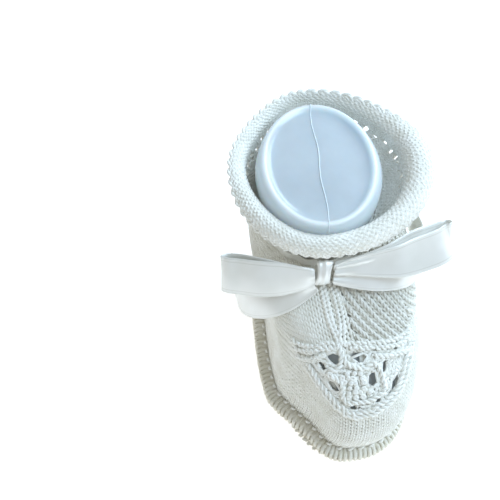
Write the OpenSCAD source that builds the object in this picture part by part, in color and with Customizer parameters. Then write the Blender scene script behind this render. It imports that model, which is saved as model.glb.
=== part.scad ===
// Newborn's knitted lace bootie: garter sole, stockinette foot, lace instep, flared picot collar,
// satin ribbon tied in a bow, and the hollow vinyl foot form that keeps it in shape on display.
// Millimetres. Toe towards -Y, heel towards +Y, +Z up. The origin is on the floor under the sole.

/* [Sole] */
// Length of the sole from toe to heel
sole_len = 90; // [84:1:96]
// Width of the sole at its widest
sole_w = 46.4; // [44:0.2:49]
// Thickness of the garter-stitch sole
sole_t = 4.4; // [4:0.1:4.8]
// How much the toe tapers on the left side, as a share of the half width
toe_skew = 0.33; // [0:0.01:0.35]

/* [Knitting] */
// Thickness of the knitted walls
knit_t = 1.6; // [1.2:0.1:1.8]
// Thickness of the ankle beading and the collar
cuff_t = 1.4; // [1.1:0.1:1.4]
// Height that ribs and seams stand proud of the wall
rib_h = 0.9; // [0.5:0.1:1.2]
// Radius of the picot cord along the collar's edge
picot_r = 1.1; // [0.9:0.1:1.3]
// Number of picots round the collar
picots = 54; // [40:2:60]

/* [Lace instep] */
// Angle from the toe to each upper corner of the lace
lace_spread = 50; // [45:5:55]

/* [Ribbon] */
// Width of the satin ribbon
ribbon_w = 10; // [9:0.5:10.5]
// Thickness of the satin ribbon
ribbon_t = 0.5; // [0.4:0.05:0.6]

/* [Foot form] */
// Half width of the form's ankle column
form_half_w = 15; // [14.5:0.1:15.3]
// Half length of the form's ankle column, front to back
form_half_l = 19.3; // [18:0.1:19.3]
// Height of the middle of the form's top
form_top = 59; // [57:0.5:62]
// How far the form's top tips towards the toe
form_tilt = 6; // [3:0.5:8]
// Wall of the hollow form
form_wall = 1; // [0.8:0.1:1.2]

/* [Hidden] */

ivory = "#f1efe4";
lace_white = "#f7f6ee";
sole_cream = "#dcd8c6";
satin = "#eceae0";
vinyl = "#b9c9d4";

step = 5;             // degrees between points round the foot
ankle_x = -3;         // the ankle leans a little to the left of the foot
heel_start = 150;     // angle from the toe at which the heel starts
rows = 12;            // rows of points up the full height of a wall
outline_power = 0.8;  // below 1, the sole's outline is fuller than an ellipse

// The foot's rings from the sole up to the ankle: [centre x, half width, toe y, heel y, toe z, heel z]
foot_rings = [
    [1, sole_w / 2 - 2.8, 2.7 - sole_len / 2, sole_len / 2 - 2.6, sole_t, sole_t],
    [2.4, 21.4, -43.6, 43.8, 12, 12],
    [2.8, 21.6, -41.2, 43.2, 20, 20],
    [2, 21.8, -34.4, 41, 27, 28],
    [0.3, 21.9, -25, 39, 33, 34],
    [-1.3, 20.6, -15, 38, 38, 39.5],
    [ankle_x, 17.3, -6.2, 36.6, 42, 43.5]
];

// The cuff's rings from the ankle up to the collar's edge:
// [left reach, right reach, front y, back y, front z, side z, back z]
cuff_rings = [
    [17.3, 17.3, -6.2, 36.6, 42, 42.75, 43.5],
    [17.4, 17.4, -6.4, 36.8, 45, 46, 47],
    [18.5, 20, -6.9, 38.5, 48, 49.5, 51],
    [21, 26, -7.8, 40.2, 50.3, 53.3, 55.2],
    [23, 30.5, -9, 42, 51.5, 56, 58]
];
collar_pinch = 0.07;  // how much the collar is drawn in between its back and its sides
beading_top = 0.25;   // share of the cuff's rings that is ankle beading

// Height of the lace and of the rows beside it, as shares of the way up the foot's rings
lace_bottom = 8 / 24;
lace_top = 15 / 24;
corner_bottom = 11 / 24;
corner_top = 13 / 24;

// Where the bow is tied, and the ribbon's stations from there:
// each is [middle of the ribbon, share of its full width, tilt of its width from upright]
knot_at = [-4.2, -9.9, 45.2];
knot_size = [6, 3.6, 7];
knot_lean = 15;
loop_right_stations = [
    [[0.6, -10.6, 46.2], 0.34, 10], [[8, -11.8, 46.6], 0.6, 18], [[18, -9.4, 46.8], 0.84, 26],
    [[27, -5, 46.6], 0.94, 30], [[32.2, -1.2, 46.2], 0.98, 32], [[31.4, 1.2, 47], 0.96, 32],
    [[25.6, -4.4, 48.6], 0.7, 36], [[16, -8.8, 48.6], 0.5, 36], [[8, -10.6, 47.8], 0.4, 30],
    [[0.6, -9.4, 46.6], 0.32, 20]
];
loop_left_stations = [
    [[-9.2, -10.8, 45.6], 0.34, 6], [[-15, -12, 44.8], 0.6, 12], [[-22, -10.6, 44], 0.78, 18],
    [[-28.6, -7.4, 43.2], 0.88, 22], [[-31.2, -4.2, 43], 0.9, 24], [[-29.8, -2.4, 43.4], 0.88, 24],
    [[-24, -7.2, 45], 0.66, 22], [[-16, -10.6, 45.6], 0.46, 18], [[-9.2, -9.6, 45.8], 0.32, 10]
];
tail_right_stations = [
    [[0.4, -11, 42.8], 0.28, 10], [[4, -12.8, 41.2], 0.42, 20], [[10, -13.8, 39.8], 0.54, 26],
    [[16.6, -12.2, 38.6], 0.58, 24], [[22.6, -8.6, 37.4], 0.62, 18], [[24.8, -1.4, 36.6], 0.66, 10],
    [[24.8, 5, 35.8], 0.7, 8], [[24.2, 11, 35], 0.72, 8]
];
tail_left_stations = [
    [[-8.8, -11, 42], 0.28, 10], [[-12.6, -13.4, 39.4], 0.4, 24], [[-18, -14, 36], 0.54, 30],
    [[-23.4, -11.2, 33.2], 0.62, 26], [[-26.6, -5.8, 31.4], 0.68, 18], [[-27, 1, 30.4], 0.72, 10],
    [[-26.6, 7, 30], 0.74, 8]
];

// ---- curves and surfaces ----

function mix(a, b, f) = a + (b - a) * f;

function eased(f) = let(c = min(max(f, 0), 1)) c * c * (3 - 2 * c);

// The list's value a share f of the way along it, on a smooth curve through its entries
function along(list, f) =
    let(
        n = len(list) - 1,
        s = min(max(f, 0), 1) * n,
        i = min(floor(s), n - 1),
        r = s - i,
        p0 = list[max(i - 1, 0)],
        p1 = list[i],
        p2 = list[i + 1],
        p3 = list[min(i + 2, n)]
    )
    p1 + r / 2 * ((p2 - p0) + r * ((2 * p0 - 5 * p1 + 4 * p2 - p3) + r * (3 * (p1 - p2) + p3 - p0)));

// A sine or cosine raised to a power with its sign kept, which makes an oval's corners fuller
function rounded(s, power) = sign(s) * pow(abs(s), power);

// How full the foot's outline is at angle a from the toe: tapered at the toe's left, slim at the heel
function fullness(a, up) =
    let(
        toe = sin(a) < 0 ? toe_skew * eased((cos(a) - 0.42) / 0.42) : 0,
        heel = 0.1 * eased((1 - cos(a)) / 2)
    )
    1 - (toe + heel) * (1 - up);

// A point on the foot's outer surface, a share up of the way from the sole to the ankle
function foot(a, up) =
    let(
        r = along(foot_rings, up),
        power = mix(outline_power, 1, up),
        side = rounded(sin(a), power),
        back = (1 - rounded(cos(a), power)) / 2
    )
    [r[0] + r[1] * fullness(a, eased(up)) * side, mix(r[2], r[3], back), mix(r[4], r[5], back)];

// A point on the cuff's outer surface, from the ankle to the collar's edge
function cuff(a, up) =
    let(
        r = along(cuff_rings, up),
        reach = sin(a) < 0 ? r[0] : r[1],
        half = (r[3] - r[2]) / 2,
        z = cos(a) > 0 ? mix(r[5], r[4], cos(a)) : mix(r[5], r[6], -cos(a)),
        drawn_in = 1 - collar_pinch * eased(up) * (cos(a) < 0 ? pow(sin(2 * a), 2) : 0)
    )
    [ankle_x + reach * sin(a) * drawn_in, r[3] - half - half * cos(a) * drawn_in, z];

function level(v) = let(flat = [v[0], v[1], 0]) flat / norm(flat);

// The outward direction on a surface: square to it, and level at its two edges
function outward(skin, a, up) =
    let(
        low = max(up - 0.01, 0),
        high = min(up + 0.01, 1),
        n = cross(skin(a + 1, up) - skin(a - 1, up), skin(a, high) - skin(a, low)),
        at_edge = 1 - eased(min(up, 1 - up) / 0.1),
        d = mix(n / norm(n), level(n), at_edge)
    )
    d / norm(d);

foot_skin = function (a, up) foot(a, up);
cuff_skin = function (a, up) cuff(a, up);

function off_surface(skin, a, up, height) =
    skin(a, up) + height * outward(skin, a, up);

// ---- solids ----

// Faces of a grid of quads, na points round by nu points up, counted from the index base
function grid_faces(na, nu, base = 0, turned = false) = [
    for (i = [0:na - 2], j = [0:nu - 2])
        let(
            p = base + i * nu + j,
            q = [p, p + 1, p + nu + 1, p + nu]
        )
        each turned ? [[q[0], q[2], q[1]], [q[0], q[3], q[2]]] : [[q[0], q[1], q[2]], [q[0], q[2], q[3]]]
];

// Faces between two rows of indices
function strip_faces(one, two) = [
    for (i = [0:len(one) - 2])
        each [[one[i], two[i], two[i + 1]], [one[i], two[i + 1], one[i + 1]]]
];

// A piece of shell on a surface between angles a0 and a1 and between two edges, which are
// functions of the angle. It reaches from low to high, measured outwards from the surface.
module patch(skin, a0, a1, bottom, top, low, high, across = step, rows_up = rows) {
    na = round((a1 - a0) / across) + 1;
    nu = rows_up + 1;
    angles = [for (i = [0:na - 1]) mix(a0, a1, i / (na - 1))];
    function layer(height) = [
        for (a = angles, j = [0:rows_up])
            off_surface(skin, a, mix(bottom(a), top(a), j / rows_up), height)
    ];
    n = na * nu;
    first = [for (j = [0:nu - 1]) j];
    last = [for (j = [0:nu - 1]) (na - 1) * nu + j];
    base = [for (i = [0:na - 1]) i * nu];
    crown = [for (i = [0:na - 1]) i * nu + nu - 1];
    polyhedron(
        points = concat(layer(high), layer(low)),
        faces = concat(
            grid_faces(na, nu, 0, false),
            grid_faces(na, nu, n, true),
            strip_faces(first, [for (p = first) p + n]),
            strip_faces([for (p = last) p + n], last),
            strip_faces([for (p = base) p + n], base),
            strip_faces(crown, [for (p = crown) p + n])
        )
    );
}

// A closed band of shell all the way round a surface
module band(skin, bottom, top, low, high, across = step, rows_up = 4) {
    na = round(360 / across);
    ring = 2 * (rows_up + 1);
    function section(a) = concat(
        [for (j = [0:rows_up]) off_surface(skin, a, mix(bottom, top, j / rows_up), high)],
        [for (j = [rows_up:-1:0]) off_surface(skin, a, mix(bottom, top, j / rows_up), low)]
    );
    closed_sweep([for (i = [0:na - 1]) section(i * across)], ring);
}

// A solid swept through a closed row of sections of m points each
module closed_sweep(sections, m) {
    n = len(sections);
    polyhedron(
        points = [for (s = sections) each s],
        faces = [
            for (i = [0:n - 1], j = [0:m - 1])
                let(
                    p = i * m + j,
                    q = i * m + (j + 1) % m,
                    r = ((i + 1) % n) * m + (j + 1) % m,
                    s = ((i + 1) % n) * m + j
                )
                each [[p, q, r], [p, r, s]]
        ]
    );
}

// A cord laid round a closed path: at gives its middle and thick its radius, both by angle
module cord_ring(at, thick, across, sides = 6) {
    closed_sweep([
        for (i = [0:round(360 / across) - 1])
            let(
                a = i * across,
                out = level(at(a) - [ankle_x, 15, 0]),
                r = thick(a)
            )
            [for (k = [0:sides - 1])
                let(t = k * 360 / sides) at(a) + r * (sin(t) * out + cos(t) * [0, 0, 1])]
    ], sides);
}

// A flat ribbon through stations of [middle, share of its width, tilt of its width from upright]
module ribbon(stations, per_span = 4) {
    n = (len(stations) - 1) * per_span;
    middles = [for (s = stations) s[0]];
    shares = [for (s = stations) s[1]];
    tilts = [for (s = stations) s[2]];
    sections = [
        for (i = [0:n])
            let(
                f = i / n,
                run = along(middles, min(f + 0.01, 1)) - along(middles, max(f - 0.01, 0)),
                out = level([-run[1], run[0], 0]),
                away = [0, 1, 0],
                up = cos(along(tilts, f)) * [0, 0, 1] + sin(along(tilts, f)) * away,
                wide = up * along(shares, f) * ribbon_w / 2,
                thick = out * ribbon_t / 2,
                m = along(middles, f)
            )
            [m + wide + thick, m + wide - thick, m - wide - thick, m - wide + thick]
    ];
    polyhedron(
        points = [for (s = sections) each s],
        faces = concat(
            [[0, 1, 2], [0, 2, 3]],
            [
                for (i = [0:n - 1], j = [0:3])
                    let(p = i * 4 + j, q = i * 4 + (j + 1) % 4)
                    each [[p, p + 4, q + 4], [p, q + 4, q]]
            ],
            [[n * 4 + 2, n * 4 + 1, n * 4], [n * 4 + 3, n * 4 + 2, n * 4]]
        )
    );
}

// ---- knitted pieces ----

sole_edge = [
    for (a = [0:step:360 - step])
        [
            sole_w / 2 * fullness(a, 0) * rounded(sin(a), outline_power),
            -sole_len / 2 * rounded(cos(a), outline_power)
        ]
];

module sole() {
    color(sole_cream)
        linear_extrude(sole_t)
            polygon(sole_edge);
}

// Picked-up stitches in the corner between the sole's rim and the wall
module sole_seam() {
    r = 0.8;
    color(lace_white)
        cord_ring(
            function (a) let(p = foot(a, 0) + (r + 0.5) * outward(foot_skin, a, 0)) [p[0], p[1], sole_t + r],
            function (a) r,
            across = step
        );
}

lower_lace_edge = function (a) mix(lace_bottom, corner_bottom, pow(min(abs(a) / lace_spread, 1), 2));
upper_lace_edge = function (a) mix(lace_top, corner_top, pow(min(abs(a) / lace_spread, 1), 2));
at_sole = function (a) 0;
at_ankle = function (a) 1;

module toe_wall() {
    color(ivory)
        patch(foot_skin, -lace_spread, lace_spread, at_sole, lower_lace_edge, -knit_t, 0, rows_up = 6);
}

module side_wall_right() {
    color(ivory)
        patch(foot_skin, lace_spread, heel_start, at_sole, at_ankle, -knit_t, 0);
}

module side_wall_left() {
    color(ivory)
        patch(foot_skin, 360 - heel_start, 360 - lace_spread, at_sole, at_ankle, -knit_t, 0);
}

module heel_wall() {
    color(ivory)
        patch(foot_skin, heel_start, 360 - heel_start, at_sole, at_ankle, -knit_t, 0);
}

module back_seam() {
    color(lace_white)
        patch(foot_skin, 177, 183, function (a) 0.06, function (a) 0.98, 0.08, rib_h, across = 3);
}

module lace_panel() {
    color(lace_white)
        patch(foot_skin, -lace_spread, lace_spread, lower_lace_edge, upper_lace_edge, -knit_t, 0,
            rows_up = 6);
}

module instep() {
    color(ivory)
        patch(foot_skin, -lace_spread, lace_spread, upper_lace_edge, at_ankle, -knit_t, 0,
            rows_up = 6);
}

// Two raised ribs from the middle of the lace up to the knot
module centre_ribs() {
    color(lace_white)
        for (a = [-6, 1])
            patch(foot_skin, a, a + 5, function (a) lace_top, function (a) 0.9, 0, rib_h,
                across = 2.5, rows_up = 6);
}

module ankle_beading() {
    color(lace_white)
        band(cuff_skin, 0, beading_top, -cuff_t, 0, rows_up = 2);
}

module collar() {
    color(ivory)
        band(cuff_skin, beading_top, 1, -cuff_t, 0, rows_up = 6);
}

// Cord along the collar's edge that swells at every picot
module picot_edging() {
    per_picot = 4;
    color(lace_white)
        cord_ring(
            function (a)
                let(p = cuff(a, 1) - cuff_t / 2 * outward(cuff_skin, a, 1))
                p + [0, 0, 1.15 * picot_r],
            function (a) picot_r * (0.85 + 0.15 * cos(picots * a)),
            across = 360 / picots / per_picot
        );
}

// ---- ribbon ----

module ribbon_band() {
    color(satin)
        band(cuff_skin, 0.02, beading_top - 0.02, 0.05, 0.05 + ribbon_t, rows_up = 2);
}

module bow_knot() {
    color(satin)
        translate(knot_at)
            rotate([-knot_lean, 0, 0])
                hull()
                    for (x = [-1, 1], z = [-1, 1])
                        translate([x * (knot_size[0] - knot_size[1]) / 2, 0, z * (knot_size[2] - knot_size[1]) / 2])
                            sphere(knot_size[1] / 2, $fn = 20);
}

module loop_right() {
    color(satin)
        ribbon(loop_right_stations);
}

module loop_left() {
    color(satin)
        ribbon(loop_left_stations);
}

module tail_right() {
    color(satin)
        ribbon(tail_right_stations);
}

module tail_left() {
    color(satin)
        ribbon(tail_left_stations);
}

// ---- vinyl foot form ----

form_mid = [ankle_x + 0.2, 15.2];
form_joint = 36;      // height at which the form's foot becomes its ankle
form_gap = 1;         // room between the form's foot and the knitting

function form_ring(a, z, inset = 0) =
    [form_mid[0] + (form_half_w - inset) * sin(a), form_mid[1] - (form_half_l - inset) * cos(a), z];

module form_oval(inset = 0) {
    polygon([for (a = [0:step:360 - step]) let(p = form_ring(a, 0, inset)) [p[0], p[1]]]);
}

// Places a piece on the form's tipped top
module on_form_top() {
    translate([0, form_mid[1], form_top])
        rotate([form_tilt, 0, 0])
            translate([0, -form_mid[1], 0])
                children();
}

// All that is under the form's tipped top, or a depth below it
module under_form_top(depth) {
    on_form_top()
        translate([-40, -40, -60 - depth])
            cube([80, 120, 60]);
}

module form_ankle() {
    color(vinyl)
        difference() {
            intersection() {
                translate([0, 0, form_joint])
                    linear_extrude(form_top)
                        form_oval();
                under_form_top(0);
            }
            intersection() {
                translate([0, 0, form_joint - 1])
                    linear_extrude(form_top)
                        form_oval(form_wall);
                under_form_top(form_wall);
            }
        }
}

// The foot of the form: a thin cup that follows the inside of the knitting up to the ankle
module form_foot() {
    levels = [0.07, 0.16, 0.26, 0.36, 0.46, 0.56, 0.64];
    low = sole_t + form_gap;
    function wall_ring(up, inset) = [
        for (a = [0:step * 2:360 - step])
            let(p = off_surface(foot_skin, a, up, -knit_t - form_gap - inset))
            [p[0], p[1], max(min(p[2], form_joint - 1.5), low + inset)]
    ];
    function rings(inset) = concat(
        [for (u = levels) wall_ring(u, inset)],
        [[for (a = [0:step * 2:360 - step]) form_ring(a, form_joint, inset)]]
    );
    outer = rings(0);
    inner = rings(form_wall);
    m = len(outer[0]);
    n = len(outer);
    all_rings = concat(outer, [for (i = [n - 1:-1:0]) inner[i]]);
    total = len(all_rings) * m;
    color(vinyl)
        polyhedron(
            points = concat(
                [for (r = all_rings) each r],
                [[form_mid[0] / 2, 0, low], [form_mid[0] / 2, 0, low + form_wall]]
            ),
            faces = concat(
                [
                    for (i = [0:len(all_rings) - 2], j = [0:m - 1])
                        let(p = i * m + j, q = i * m + (j + 1) % m)
                        each [[p, p + m, q + m], [p, q + m, q]]
                ],
                [for (j = [0:m - 1]) [total, j, (j + 1) % m]],
                [for (j = [0:m - 1]) [total + 1, total - m + (j + 1) % m, total - m + j]]
            )
        );
}

// The bright raised rim round the form's top
module form_rim() {
    color(vinyl)
        on_form_top()
            linear_extrude(0.8)
                difference() {
                    form_oval(0.2);
                    form_oval(1.8);
                }
}

// The moulding's parting line, across the top and down the front
module form_seam() {
    seam_w = 0.8;
    seam_h = 0.35;
    drop = 6;
    color(vinyl) {
        on_form_top()
            translate([form_mid[0] - seam_w / 2, form_mid[1] - form_half_l + 2, 0])
                cube([seam_w, 2 * form_half_l - 4, seam_h]);
        translate([form_mid[0] - seam_w / 2, form_mid[1] - form_half_l - seam_h, form_top - 3 - drop])
            cube([seam_w, seam_h, drop]);
    }
}

sole();
sole_seam();
toe_wall();
side_wall_left();
side_wall_right();
heel_wall();
back_seam();
lace_panel();
instep();
centre_ribs();
ankle_beading();
collar();
picot_edging();
ribbon_band();
bow_knot();
loop_left();
loop_right();
tail_left();
tail_right();
form_foot();
form_ankle();
form_rim();
form_seam();
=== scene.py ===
"""Looks of a newborn's knitted lace bootie: cotton stitches, lace, picot collar, satin bow, vinyl form."""

import math

import bpy
import numpy as np
from mathutils import Matrix, Vector, kdtree


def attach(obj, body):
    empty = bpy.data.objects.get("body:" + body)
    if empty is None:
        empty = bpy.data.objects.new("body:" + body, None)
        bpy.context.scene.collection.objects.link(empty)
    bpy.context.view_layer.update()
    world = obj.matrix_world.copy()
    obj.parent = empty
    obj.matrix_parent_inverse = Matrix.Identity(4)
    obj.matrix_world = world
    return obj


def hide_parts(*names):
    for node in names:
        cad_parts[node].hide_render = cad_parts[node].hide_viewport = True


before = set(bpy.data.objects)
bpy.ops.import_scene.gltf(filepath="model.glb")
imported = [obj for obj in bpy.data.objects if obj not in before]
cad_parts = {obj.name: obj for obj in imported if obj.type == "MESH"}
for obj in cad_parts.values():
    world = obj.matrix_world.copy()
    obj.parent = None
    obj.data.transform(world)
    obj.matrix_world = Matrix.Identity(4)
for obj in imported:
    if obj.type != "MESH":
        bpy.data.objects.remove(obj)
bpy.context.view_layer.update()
rng = np.random.default_rng(11)

MM = 0.001  # every length below is in millimetres until its mesh is made

# ---- the shapes of the foot and the cuff, as the frame has them ----

SOLE_LENGTH, SOLE_WIDTH, SOLE_THICK = 90.0, 46.4, 4.4
ANKLE_X = -3.0
TOE_SKEW = 0.33
LACE_SPREAD, HEEL_START = 50.0, 150.0
LACE_BOTTOM, LACE_TOP, CORNER_BOTTOM, CORNER_TOP = 8 / 24, 15 / 24, 11 / 24, 13 / 24
BEADING_TOP = 0.25

# centre x, half width, toe y, heel y, toe z, heel z
FOOT_RINGS = np.array([
    [1, SOLE_WIDTH / 2 - 2.8, 2.7 - SOLE_LENGTH / 2, SOLE_LENGTH / 2 - 2.6, SOLE_THICK, SOLE_THICK],
    [2.4, 21.4, -43.6, 43.8, 12, 12],
    [2.8, 21.6, -41.2, 43.2, 20, 20],
    [2.0, 21.8, -34.4, 41, 27, 28],
    [0.3, 21.9, -25, 39, 33, 34],
    [-1.3, 20.6, -15, 38, 38, 39.5],
    [ANKLE_X, 17.3, -6.2, 36.6, 42, 43.5],
])

# left reach, right reach, front y, back y, front z, side z, back z
CUFF_RINGS = np.array([
    [17.3, 17.3, -6.2, 36.6, 42, 42.75, 43.5],
    [17.4, 17.4, -6.4, 36.8, 45, 46, 47],
    [18.5, 20, -6.9, 38.5, 48, 49.5, 51],
    [21, 26, -7.8, 40.2, 50.3, 53.3, 55.2],
    [23, 30.5, -9, 42, 51.5, 56, 58],
])


def mix(a, b, f):
    return a + (b - a) * f


def eased(f):
    f = np.clip(f, 0, 1)
    return f * f * (3 - 2 * f)


def along(stations, f):
    """A smooth curve through the rows of stations, a share f of the way along them."""
    stations = np.asarray(stations, float)
    n = len(stations) - 1
    s = np.clip(f, 0, 1) * n
    i = np.minimum(np.floor(s).astype(int), n - 1)
    r = (s - i)[..., None]
    p0, p1 = stations[np.maximum(i - 1, 0)], stations[i]
    p2, p3 = stations[i + 1], stations[np.minimum(i + 2, n)]
    return p1 + r / 2 * ((p2 - p0) + r * ((2 * p0 - 5 * p1 + 4 * p2 - p3) + r * (3 * (p1 - p2) + p3 - p0)))


def sin_cos(degrees):
    return np.sin(np.radians(degrees)), np.cos(np.radians(degrees))


def rounded(s, power):
    return np.sign(s) * np.abs(s) ** power


def fullness(sin_a, cos_a, up):
    toe = TOE_SKEW * eased((cos_a - 0.42) / 0.42) * (sin_a < 0)
    heel = 0.1 * eased((1 - cos_a) / 2)
    return 1 - (toe + heel) * (1 - up)


def foot(a, up):
    """The outer face of the knitted foot at angle a from the toe, a share up of the way to the ankle."""
    a, up = np.broadcast_arrays(np.asarray(a, float), np.asarray(up, float))
    r = along(FOOT_RINGS, up)
    sin_a, cos_a = sin_cos(a)
    power = mix(0.8, 1, up)
    side = rounded(sin_a, power) * fullness(sin_a, cos_a, eased(up))
    back = (1 - rounded(cos_a, power)) / 2
    return np.stack([
        r[..., 0] + r[..., 1] * side,
        mix(r[..., 2], r[..., 3], back),
        mix(r[..., 4], r[..., 5], back),
    ], -1)


def cuff(a, up):
    """The outer face of the ankle beading and collar, from the ankle to the collar's edge."""
    a, up = np.broadcast_arrays(np.asarray(a, float), np.asarray(up, float))
    r = along(CUFF_RINGS, up)
    sin_a, cos_a = sin_cos(a)
    reach = np.where(sin_a < 0, r[..., 0], r[..., 1])
    half = (r[..., 3] - r[..., 2]) / 2
    z = np.where(cos_a > 0, mix(r[..., 5], r[..., 4], cos_a), mix(r[..., 5], r[..., 6], -cos_a))
    drawn_in = 1 - 0.07 * eased(up) * np.where(cos_a < 0, np.sin(np.radians(2 * a)) ** 2, 0)
    return np.stack([
        ANKLE_X + reach * sin_a * drawn_in,
        r[..., 3] - half - half * cos_a * drawn_in,
        z,
    ], -1)


def unit(v):
    return v / np.maximum(np.linalg.norm(v, axis=-1, keepdims=True), 1e-9)


def outward(skin, a, up):
    high, low = np.minimum(np.asarray(up) + 0.01, 1), np.maximum(np.asarray(up) - 0.01, 0)
    return unit(np.cross(skin(a + 0.7, up) - skin(a - 0.7, up), skin(a, high) - skin(a, low)))


def lengths(points):
    """The length of the way along a row of points, at each of them."""
    return np.concatenate([[0], np.cumsum(np.linalg.norm(np.diff(points, axis=0), axis=1))])


def even_angles(skin, a0, a1, up, pitch):
    """Angles from a0 to a1 that lie a pitch of about that many millimetres apart on the skin."""
    fine = np.linspace(a0, a1, 721)
    run = lengths(skin(fine, up))
    count = max(2, round(run[-1] / pitch))
    return np.interp(np.linspace(0, run[-1], count + 1), run, fine)


def lower_lace_edge(a):
    return mix(LACE_BOTTOM, CORNER_BOTTOM, np.minimum(np.abs(a) / LACE_SPREAD, 1) ** 2)


def upper_lace_edge(a):
    return mix(LACE_TOP, CORNER_TOP, np.minimum(np.abs(a) / LACE_SPREAD, 1) ** 2)


# ---- meshes ----


END_TAPER = 0.6  # a yarn's radius at its cut ends, as a share of the rest


def yarn_uvs(along_it, across, step):
    """A grid's yarn coordinates: one value for each row, one for each column, and the columns' step."""
    u, v = np.broadcast_arrays(along_it[:, None], across[None])
    return u, v, step


class Weave:
    """Quads and their yarn coordinates, gathered from many strands and made one mesh at the end."""

    def __init__(self):
        self.points, self.quads, self.uvs, self.count = [], [], [], 0

    def grid(self, points, uvs, wrap_rows=False, wrap_columns=False):
        """points is rows x columns x 3; quads face the way that rows x columns turn."""
        rows, columns = points.shape[:2]
        i = np.arange(rows if wrap_rows else rows - 1)[:, None]
        j = np.arange(columns if wrap_columns else columns - 1)[None]
        i2, j2 = (i + 1) % rows, (j + 1) % columns
        quads = np.stack([i * columns + j, i * columns + j2, i2 * columns + j2, i2 * columns + j], -1)
        u = np.stack([uvs[0][i, j], uvs[0][i, j], uvs[0][i2, j], uvs[0][i2, j]], -1)
        if wrap_rows:
            step = uvs[0][1, 0] - uvs[0][0, 0]
            u[-1, :, 2:] = u[-1, :, :2] + step
        v = np.stack([uvs[1][i, j], uvs[1][i, j] + uvs[2], uvs[1][i, j] + uvs[2], uvs[1][i, j]], -1)
        self.points.append(points.reshape(-1, 3))
        self.quads.append(quads.reshape(-1, 4) + self.count)
        self.uvs.append(np.stack([u, v], -1).reshape(-1, 2))
        self.count += rows * columns

    def strand(self, path, normal, radius, sides=6, closed=False):
        """A yarn round a path of points, with rounded-off closed ends unless it is a ring."""
        m = len(path)
        if closed:
            run = np.roll(path, -1, 0) - np.roll(path, 1, 0)
        else:
            run = np.gradient(path, axis=0)
        run = unit(run)
        side = unit(np.cross(run, normal))
        face = np.cross(side, run)
        turn = np.arange(sides) * 2 * np.pi / sides
        radius = np.broadcast_to(np.asarray(radius, float), (m,)).copy()
        if not closed:
            radius[[0, -1]] *= END_TAPER
        ring = path[:, None] + radius[:, None, None] * (
            np.cos(turn)[None, :, None] * face[:, None] + np.sin(turn)[None, :, None] * side[:, None]
        )
        uvs = yarn_uvs(lengths(path), np.arange(sides) / sides, 1 / sides)
        base = self.count
        self.grid(ring, uvs, wrap_rows=closed, wrap_columns=True)
        if not closed:
            caps = []
            for first, order in ((base, -1), (base + (m - 1) * sides, 1)):
                for k in range(1, sides - 2, 2):
                    caps.append([first, first + k, first + k + 1, first + k + 2][::order])
            self.quads.append(np.array(caps))
            self.uvs.append(np.zeros((len(caps) * 4, 2)))

    def piece(self, name):
        points, quads, uvs = (np.concatenate(x) for x in (self.points, self.quads, self.uvs))
        mesh = bpy.data.meshes.new(name)
        mesh.from_pydata(points * MM, [], quads)
        layer = mesh.uv_layers.new(name="yarn")
        layer.data.foreach_set("uv", uvs.ravel())
        mesh.shade_smooth()
        piece = bpy.data.objects.new(name, mesh)
        bpy.context.scene.collection.objects.link(piece)
        return piece


def only(*pieces):
    bpy.ops.object.select_all(action="DESELECT")
    for piece in pieces:
        piece.select_set(True)
    bpy.context.view_layer.objects.active = pieces[0]


def apply_modifier(piece, kind, **settings):
    only(piece)
    bpy.ops.object.modifier_add(type=kind)
    modifier = piece.modifiers[-1]
    for key, value in settings.items():
        setattr(modifier, key, value)
    bpy.ops.object.modifier_apply(modifier=modifier.name)


def join(piece, *others):
    only(piece, *others)
    bpy.ops.object.join()


def close_ends(piece):
    """Fills a piece's open ends and turns its faces outwards."""
    only(piece)
    bpy.ops.object.mode_set(mode="EDIT")
    bpy.ops.mesh.select_all(action="DESELECT")
    bpy.ops.mesh.select_non_manifold()
    bpy.ops.mesh.edge_face_add()
    bpy.ops.mesh.select_all(action="SELECT")
    bpy.ops.mesh.normals_make_consistent(inside=False)
    bpy.ops.object.mode_set(mode="OBJECT")


def finish_piece(piece, material, body, slot, *nodes):
    piece.data.materials.clear()
    piece.data.materials.append(material)
    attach(piece, body)
    if nodes:
        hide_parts(*nodes)


def finish_knitting(weave, name, material, slot, node, *layers):
    piece = weave.piece(name)
    if layers:
        join(piece, *layers)
    finish_piece(piece, material, "bootie", slot, node)


# ---- knitting ----


EYELET_REACH = 6  # radii from an eyelet's middle within which stitches are pushed away


def open_eyelets(skin, a, up, eyelets):
    """Pushes stitches away from the middle of each eyelet: (angle, share up, radius, stretch, slant)."""
    for at_a, at_up, radius, stretch, slant in eyelets:
        per_a = np.linalg.norm(skin(at_a + 0.5, at_up) - skin(at_a - 0.5, at_up))
        per_up = np.linalg.norm(skin(at_a, at_up + 0.005) - skin(at_a, at_up - 0.005)) / 0.01
        x, y = (a - at_a) * per_a, (up - at_up) * per_up
        c, s = math.cos(math.radians(slant)), math.sin(math.radians(slant))
        u, v = (x * c + y * s) / stretch, y * c - x * s
        r = np.maximum(np.hypot(u, v), 1e-6)
        grow = np.where(r < EYELET_REACH * radius, (r ** 4 + radius ** 4) ** 0.25 / r, 1)
        u, v = u * grow * stretch, v * grow
        a, up = at_a + (u * c - v * s) / per_a, at_up + (u * s + v * c) / per_up
    return a, up


SAMPLES = 10       # points along the yarn of one stitch
LOOP_REACH = 0.8   # rows that a stitch reaches up and down from the middle of its own
LOOP_SWAY = 0.21   # columns that the legs of a stitch lean in at its neck


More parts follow.
